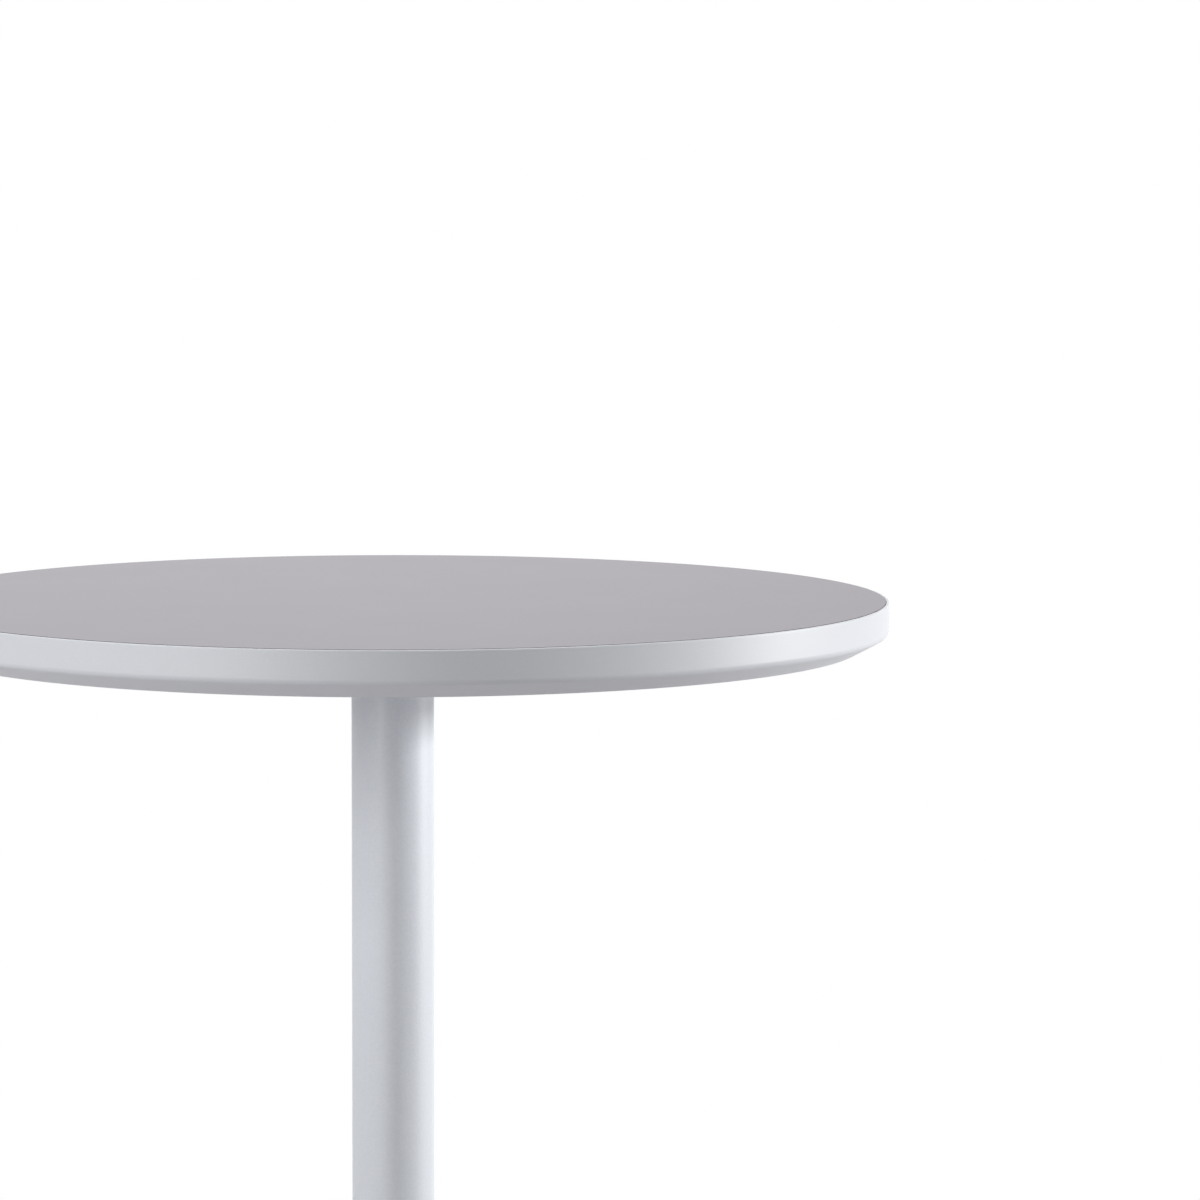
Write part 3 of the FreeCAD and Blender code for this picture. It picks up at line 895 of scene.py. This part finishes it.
def base_disc():
    """Disc turned from an outline with rounded rims and the nut's pocket, drilled for the feet."""
    path = outline(
        [
            (ROD_HOLE_RADIUS, POCKET_CEILING, 0),
            (POCKET_RADIUS, POCKET_CEILING, POCKET_ROUNDING),
            (POCKET_RADIUS, BASE_UNDERSIDE, POCKET_ROUNDING),
            (BASE_RADIUS, BASE_UNDERSIDE, BASE_UNDER_ROUNDING),
            (BASE_RADIUS, BASE_FACE, BASE_RIM_ROUNDING),
            (ROD_HOLE_RADIUS, BASE_FACE, 0),
        ],
        ring=True,
    )
    disc = dressed("base_disc", "base_plate", even_rows(path, BASE_COLUMNS), ring=True)
    drilled(disc, STUD_HOLE_RADIUS, BASE_UNDERSIDE, STUD_HOLE_END, round_the_feet())


def column_locator():
    """Turned disc that centres the foot of the column."""
    path = outline(
        [
            (ROD_HOLE_RADIUS, BASE_FACE, 0),
            (SPIGOT_RADIUS, BASE_FACE, 0),
            (SPIGOT_RADIUS, BASE_SPIGOT_TOP - SPIGOT_LEAD_IN, 0),
            (SPIGOT_RADIUS - SPIGOT_LEAD_IN, BASE_SPIGOT_TOP, 0),
            (ROD_HOLE_RADIUS, BASE_SPIGOT_TOP, 0),
        ],
        ring=True,
    )
    dressed("column_locator", "base_spigot", even_rows(path, COLUMN_COLUMNS), ring=True)


# Levelling feet


def ball_path(radius, opening):
    """Path (r cos a, centre + r sin a) up a ball, from its lowest point to where an opening cuts it."""
    turn = np.linspace(-math.pi / 2, math.acos(opening / radius), 2 * ARC_CHORDS)
    path = np.stack([radius * np.cos(turn), BALL_CENTRE + radius * np.sin(turn)], axis=-1)
    path[0, 0] = 0
    return path


def foot_pads():
    """Pads: rows from the floor of the ball's socket out of its mouth, over the top and to the sole.

    The shell's outline starts at the socket's last point, which is left out of it.
    """
    socket = ball_path(BALL_RADIUS + BALL_CLEARANCE, MOUTH_RADIUS)
    shell = outline(
        [
            (MOUTH_RADIUS, socket[-1, 1], 0),
            (MOUTH_RADIUS, PAD_TOP, MOUTH_ROUNDING),
            (PAD_RADIUS, PAD_TOP, PAD_TOP_ROUNDING),
            (PAD_RADIUS, 0, PAD_SOLE_ROUNDING),
            (0, 0, 0),
        ],
        ring=False,
    )
    rows = even_rows(np.concatenate([socket, shell[1:]]), SMALL_COLUMNS)
    for number, middle in enumerate(round_the_feet(), start=1):
        dressed(f"foot_{number}_pad", f"foot_pad_{number}", rows, ring=False, places=[middle])


def foot_studs():
    """Studs: rows from the ball's lowest point up the neck, the hexagon and the thread to the tip."""
    columns = SMALL_COLUMNS
    rows = np.concatenate([
        even_rows(ball_path(BALL_RADIUS, NECK_RADIUS), columns),
        rows_of(NECK_RADIUS, STUD_HEX_UNDERSIDE, columns),
        spanner_hexagon(STUD_HEX_WIDTH, STUD_HEX_UNDERSIDE, BASE_UNDERSIDE, columns),
        thread(STUD_RADIUS, BASE_UNDERSIDE, STUD_TIP - STUD_CHAMFER, STUD_PITCH, columns),
        rows_of(STUD_RADIUS - STUD_CHAMFER, STUD_TIP, columns),
        rows_of(0.0, STUD_TIP, columns),
    ])
    for number, middle in enumerate(round_the_feet(), start=1):
        dressed(f"foot_{number}_stud", f"foot_stud_{number}", rows, ring=False, places=[middle])


laminate_sheet()
white_lipping()
backing_sheet()
plate_under_top()
plate_washers()
plate_screws()
column_hub()
weld_bead()
column()
threaded_rod()
pocket_washer()
hexagon_nut()
base_disc()
column_locator()
foot_pads()
foot_studs()

# The board, its inserts and the split washer keep their CAD shape, and take their slot's finish
for node, thing in NODES.items():
    if not thing.hide_render:
        thing.material_slots[0].material = FINISHES[SLOT_OF_NODE[node]]


# Camera at the photograph's viewing angle; its lens and sensor are in millimetres

CAMERA_DISTANCE = 3.0
CAMERA_ABOVE_TOP = 0.2865
CAMERA_ASIDE = -1.2 * MM
CAMERA_LENS = 149.28
CAMERA_SENSOR = 36.0
CAMERA_PITCH = math.radians(5.48)
CAMERA_YAW = math.radians(2.42)
CAMERA_ROLL = math.radians(0.16)

scene = bpy.context.scene
camera = bpy.data.objects.new("camera", bpy.data.cameras.new("camera"))
camera.data.lens = CAMERA_LENS
camera.data.sensor_width = CAMERA_SENSOR
camera.matrix_world = (
    Matrix.Translation((CAMERA_ASIDE, -CAMERA_DISTANCE, TOP_FACE + CAMERA_ABOVE_TOP))
    @ Matrix.Rotation(-CAMERA_YAW, 4, "Z")
    @ Matrix.Rotation(math.pi / 2 - CAMERA_PITCH, 4, "X")
    @ Matrix.Rotation(CAMERA_ROLL, 4, "Z")
)
scene.collection.objects.link(camera)
scene.camera = camera


# Studio

FLOOR_RADIUS = 3.0
FLOOR_SHADOW_RADIUS = 0.7  # as far as here the floor shows the table's shadow
FLOOR_FADE_RADIUS = 0.9 * FLOOR_RADIUS  # from here on it has faded into the white ground
FLOOR_LEAST_WHITE = 0.35  # share of the white ground in it beside the table
FILL_LEVEL = 0.02
AIM_HEIGHT = 1.0


def seen_directly(camera_ray):
    """1 for what the camera sees, straight or in metal or glass, and 0 for the light on a surface."""
    mirrored = camera_ray.node("ShaderNodeLightPath", {}, {}, "Is Glossy Ray")
    through = camera_ray.node("ShaderNodeLightPath", {}, {}, "Is Transmission Ray")
    return camera_ray.largest(mirrored).largest(through)


def white_ground():
    """World that is white to look at and a softer fill light otherwise."""
    world = bpy.data.worlds.new("white_ground")
    scene.world = world
    world.use_nodes = True
    seen = seen_directly(started(world.node_tree, "ShaderNodeLightPath", "Is Camera Ray"))
    level = FILL_LEVEL + (1 - FILL_LEVEL) * seen
    ground = seen.node("ShaderNodeBackground", {}, {"Color": WHITE, "Strength": level})
    seen.node("ShaderNodeOutputWorld", {}, {"Surface": ground})


def floor_finish():
    """Pale by the table, white to look at far out, and clear from below."""
    material, where = new_finish("pale_floor")
    seen = seen_directly(where.node("ShaderNodeLightPath", {}, {}, "Is Camera Ray"))
    radius = where.node("ShaderNodeVectorMath", {"operation": "LENGTH"}, {0: where}, "Value")
    far_out = radius.smooth(FLOOR_SHADOW_RADIUS, FLOOR_FADE_RADIUS)
    whiteness = FLOOR_LEAST_WHITE + (1 - FLOOR_LEAST_WHITE) * far_out
    paint = where.node("ShaderNodeBsdfDiffuse", {}, {"Color": FLOOR_GREY})
    white = where.node("ShaderNodeEmission", {}, {"Color": WHITE, "Strength": 1.0})
    upper = where.node("ShaderNodeMixShader", {}, {0: whiteness * seen, 1: paint, 2: white})
    below = where.node("ShaderNodeNewGeometry", {}, {}, "Backfacing") * seen
    clear = where.node("ShaderNodeBsdfTransparent", {}, {})
    whole = where.node("ShaderNodeMixShader", {}, {0: below, 1: upper, 2: clear})
    where.node("ShaderNodeOutputMaterial", {}, {"Surface": whole})
    return material


def pale_floor():
    """Flat disc: one face inside the circle x = r cos t, y = r sin t."""
    rim = spun(rows_of(FLOOR_RADIUS, 0.0, SMALL_COLUMNS), CENTRE)
    mesh = bpy.data.meshes.new("floor")
    mesh.from_pydata(rim.reshape(-1, 3), [], [range(SMALL_COLUMNS)])
    mesh.materials.append(floor_finish())
    floor = bpy.data.objects.new("floor", mesh)
    scene.collection.objects.link(floor)


def soft_box(name, bearing, lift, distance, width, height, level):
    """Soft light at a bearing from the camera's side, right positive, and a lift above the horizon.

    Both are in degrees. The level sets how bright its face is: its power is level * pi * area.
    """
    lamp = bpy.data.lights.new(name, "AREA")
    lamp.shape = "RECTANGLE"
    lamp.size = width
    lamp.size_y = height
    lamp.energy = level * math.pi * width * height
    box = bpy.data.objects.new(name, lamp)
    turn = math.radians(bearing)
    climb = math.radians(lift)
    outward = math.cos(climb)
    towards = Vector((math.sin(turn) * outward, -math.cos(turn) * outward, math.sin(climb)))
    box.location = Vector((0, 0, AIM_HEIGHT)) + distance * towards
    box.rotation_euler = towards.to_track_quat("Z", "Y").to_euler()
    box.visible_camera = False
    scene.collection.objects.link(box)


white_ground()
pale_floor()
soft_box("box_right", bearing=95, lift=11, distance=6, width=1.4, height=0.52, level=110)
soft_box("box_right_low", bearing=94, lift=2, distance=6, width=1.05, height=0.52, level=36)
soft_box("box_left_front", bearing=-36, lift=10, distance=3.6, width=1, height=1.7, level=6)
soft_box("box_left", bearing=-63, lift=20.5, distance=3.6, width=1, height=1.6, level=8.7)
soft_box("box_behind", bearing=182, lift=43, distance=2.2, width=0.9, height=0.95, level=4)
soft_box("box_overhead", bearing=-120, lift=82, distance=2.2, width=1.8, height=1.8, level=2.1)

scene.view_settings.view_transform = "Standard"
